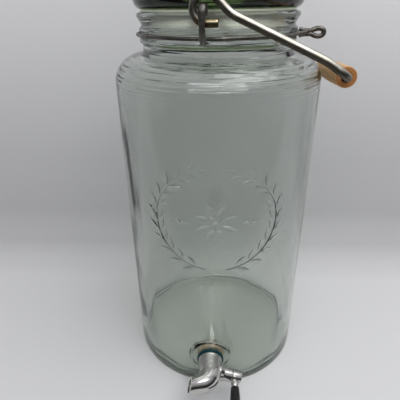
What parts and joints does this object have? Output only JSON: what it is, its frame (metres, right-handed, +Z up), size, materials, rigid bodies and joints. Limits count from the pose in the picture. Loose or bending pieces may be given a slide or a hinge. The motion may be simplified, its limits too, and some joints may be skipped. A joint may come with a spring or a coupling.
{
  "type": "glass jar dispenser with tap",
  "caption": "Cylindrical glass dispenser jar with a wide neck, a lift-off glass lid, a wire bail with a wooden grip and a quarter-turn metal tap near the base.",
  "frame": {"origin": "on the jar's axis, in the plane it stands on", "axes": "+Z up along the jar's axis; the tap looks along -Y; +X is to the right of someone facing the tap"},
  "size_m": [0.2269, 0.266, 0.444],
  "materials": {
    "clear_glass": "pressed clear glass with a faint grey-green tint",
    "green_glass": "thick dark olive-green pressed glass",
    "pale_silicone": "matt translucent white",
    "dark_wire": "weathered grey",
    "satin_steel": "drawn wire, satin",
    "polished_steel": "polished",
    "wood": "turned light hardwood, oiled",
    "teal_silicone": "satin",
    "black_plastic": "satin",
    "black_rubber": "satin"
  },
  "bodies": {
    "jar": {"glass_jar": "clear_glass", "neck_wire": "dark_wire", "front_ear": "dark_wire", "rear_ear": "dark_wire", "outer_washer": "teal_silicone", "inner_washer": "pale_silicone"},
    "lid": {"glass_lid": "green_glass", "lid_gasket": "pale_silicone"},
    "bail": {"handle_wire": "satin_steel"},
    "grip": {"wooden_grip": "wood"},
    "tap": {"tap_body": "polished_steel", "metal_washer": "satin_steel", "lock_nut": "satin_steel"},
    "valve": {"valve_plug": "polished_steel", "plug_ring_inner": "black_rubber", "plug_ring_outer": "black_rubber", "valve_cap": "polished_steel", "cap_screw": "satin_steel", "lever_arm": "polished_steel", "lever_sleeve": "black_plastic"}
  },
  "joints": [
    {"name": "lid_lift", "type": "slide", "parent": "jar", "child": "lid", "axis": [0, 0, 1], "range_m": [0, 0.2]},
    {"name": "handle_swing", "type": "hinge", "parent": "jar", "child": "bail", "pos_m": [0.00248, -0.00032, 0.3895], "axis": [-0.1271, -0.9919, 0], "range_deg": [0, 226]},
    {"name": "grip_spin", "type": "hinge", "parent": "bail", "child": "grip", "pos_m": [0.10931, -0.014, 0.33398], "axis": [0.1266, 0.9881, -0.0872], "continuous": true},
    {"name": "tap_swivel", "type": "hinge", "parent": "jar", "child": "tap", "pos_m": [-0.005, -0.1012, 0.0423], "axis": [0, -1, 0], "range_deg": [0, 108]},
    {"name": "tap_lever", "type": "hinge", "parent": "tap", "child": "valve", "pos_m": [-0.005, -0.1176, 0.0423], "axis": [-0.9511, 0, 0.309], "range_deg": [0, 90]}
  ]
}
